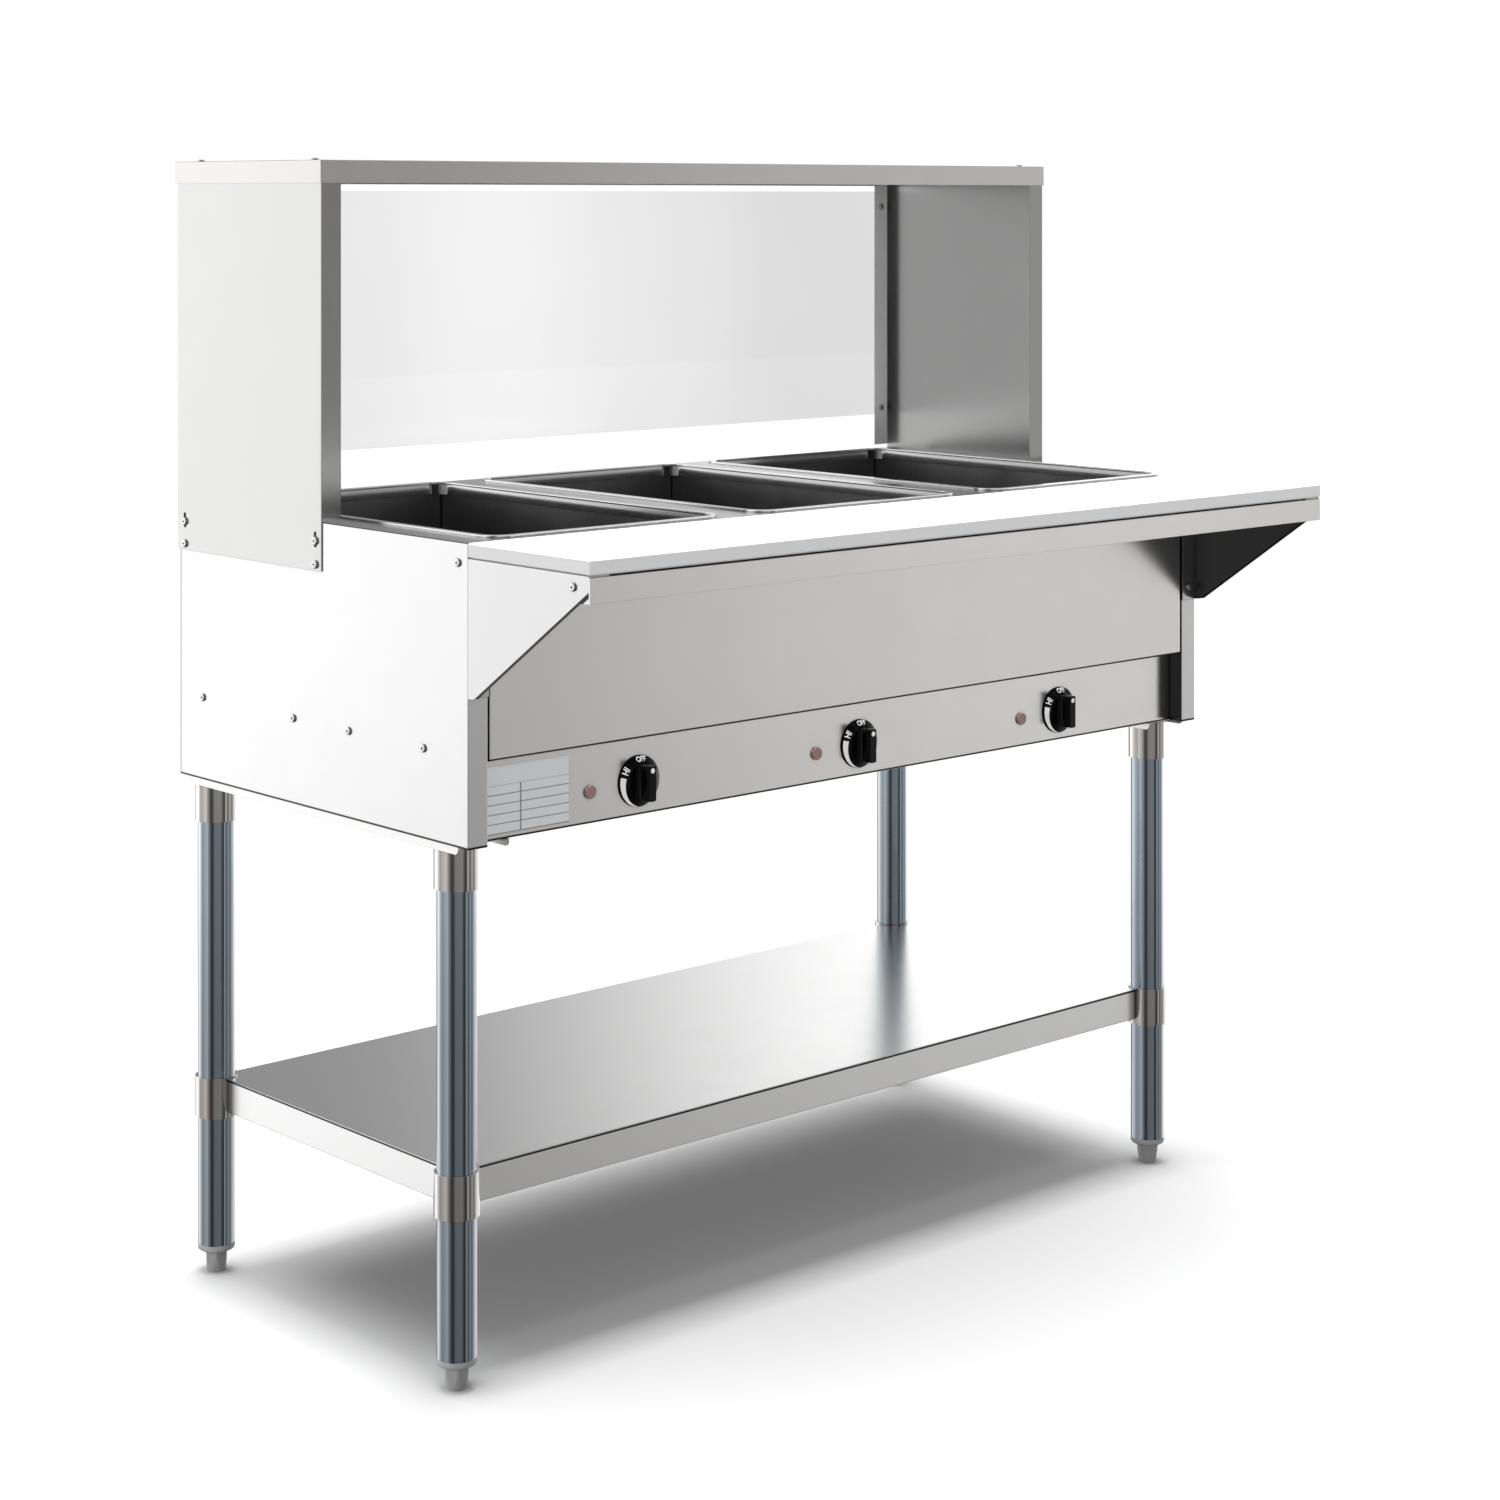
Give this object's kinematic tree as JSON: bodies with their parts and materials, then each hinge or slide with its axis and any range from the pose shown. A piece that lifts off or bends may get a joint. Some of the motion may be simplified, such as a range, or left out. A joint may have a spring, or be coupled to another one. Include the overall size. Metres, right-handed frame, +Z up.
{
  "type": "electric buffet server",
  "caption": "Stainless steam table with open heated wells, front cutting board, overshelf with clear rear guard and an adjustable undershelf on tube legs.",
  "frame": {"origin": "on the floor, at the middle of the server's footprint", "axes": "+X to the operator's right, +Y from the cutting board to the guard, +Z up"},
  "size_m": [1.1322, 0.753, 1.2508],
  "materials": {
    "stainless": "fine horizontal brushing, satin",
    "well_steel": "dull rolled sheet, in shade",
    "element_sheath": "dark oxidised sheath",
    "plated_steel": "bright plated, slightly dull",
    "turned_stainless": "bright turned stainless",
    "galvanised_steel": "bright blue-grey galvanised tube",
    "grey_plastic": "moulded, fine grain",
    "white_board": "milled white board with a fine satin grain",
    "black_knob": "glossy moulded black with white dial marks",
    "black_moulding": "moulded black",
    "pilot_lens": "muted red lens, unlit",
    "cord_rubber": "smooth rubber",
    "insulation": "pressed mineral fibre",
    "clear_pane": "clear, very slightly grey",
    "label_film": "plain silver film with ruled lines"
  },
  "bodies": {
    "root": {"left_side_panel": "stainless", "right_side_panel": "stainless", "back_panel": "stainless", "deck": "stainless", "front_apron": "stainless", "control_panel": "stainless", "bottom_cover": "stainless", "left_board_bracket": "stainless", "right_board_bracket": "stainless", "board_rail": "stainless", "left_post": "stainless", "right_post": "stainless", "overshelf": "stainless", "left_leg_channel": "stainless", "right_leg_channel": "stainless", "well_support_shelf": "stainless", "left_well_liner": "well_steel", "centre_well_liner": "well_steel", "right_well_liner": "well_steel", "left_heating_element": "element_sheath", "centre_heating_element": "element_sheath", "right_heating_element": "element_sheath", "element_supports": "plated_steel", "channel_bolts": "plated_steel", "socket_screws": "plated_steel", "panel_screws": "plated_steel", "bracket_screws": "plated_steel", "overshelf_screws": "plated_steel", "pane_nuts": "plated_steel", "leg_sockets": "turned_stainless", "front_left_leg": "galvanised_steel", "front_right_leg": "galvanised_steel", "rear_left_leg": "galvanised_steel", "rear_right_leg": "galvanised_steel", "foot_inserts": "grey_plastic", "heat_switches": "black_moulding", "pilot_bodies": "black_moulding", "power_plug": "black_moulding", "cord_grip": "black_moulding", "terminal_block": "black_moulding", "pilot_lenses": "pilot_lens", "power_cord": "cord_rubber", "wiring_harness": "cord_rubber", "well_insulation": "insulation", "guard_pane": "clear_pane", "rating_label": "label_film"},
    "left_dial": {"left_knob": "black_knob", "left_switch_shaft": "plated_steel"},
    "centre_dial": {"centre_knob": "black_knob", "centre_switch_shaft": "plated_steel"},
    "right_dial": {"right_knob": "black_knob", "right_switch_shaft": "plated_steel"},
    "front_left_foot_screw": {"front_left_foot": "grey_plastic"},
    "front_right_foot_screw": {"front_right_foot": "grey_plastic"},
    "rear_left_foot_screw": {"rear_left_foot": "grey_plastic"},
    "rear_right_foot_screw": {"rear_right_foot": "grey_plastic"},
    "undershelf_assembly": {"undershelf": "stainless", "undershelf_collars": "turned_stainless", "collar_screws": "plated_steel"},
    "board": {"cutting_board": "white_board"}
  },
  "joints": [
    {"name": "left_knob_turn", "type": "hinge", "parent": "root", "child": "left_dial", "pos_m": [-0.324, -0.1685, 0.5935], "axis": [0, 1, 0], "range_deg": [0, 230]},
    {"name": "centre_knob_turn", "type": "hinge", "parent": "root", "child": "centre_dial", "pos_m": [-0.001, -0.1685, 0.5935], "axis": [0, 1, 0], "range_deg": [0, 230]},
    {"name": "right_knob_turn", "type": "hinge", "parent": "root", "child": "right_dial", "pos_m": [0.332, -0.1685, 0.5935], "axis": [0, 1, 0], "range_deg": [0, 230]},
    {"name": "front_left_foot_height", "type": "slide", "parent": "root", "child": "front_left_foot_screw", "axis": [0, 0, -1], "range_m": [0, 0.025]},
    {"name": "front_right_foot_height", "type": "slide", "parent": "root", "child": "front_right_foot_screw", "axis": [0, 0, -1], "range_m": [0, 0.025]},
    {"name": "rear_left_foot_height", "type": "slide", "parent": "root", "child": "rear_left_foot_screw", "axis": [0, 0, -1], "range_m": [0, 0.025]},
    {"name": "rear_right_foot_height", "type": "slide", "parent": "root", "child": "rear_right_foot_screw", "axis": [0, 0, -1], "range_m": [0, 0.025]},
    {"name": "undershelf_height", "type": "slide", "parent": "root", "child": "undershelf_assembly", "axis": [0, 0, 1], "range_m": [-0.1, 0.18]},
    {"name": "board_lift", "type": "slide", "parent": "root", "child": "board", "axis": [0, 0, 1], "range_m": [0, 0.06]}
  ]
}
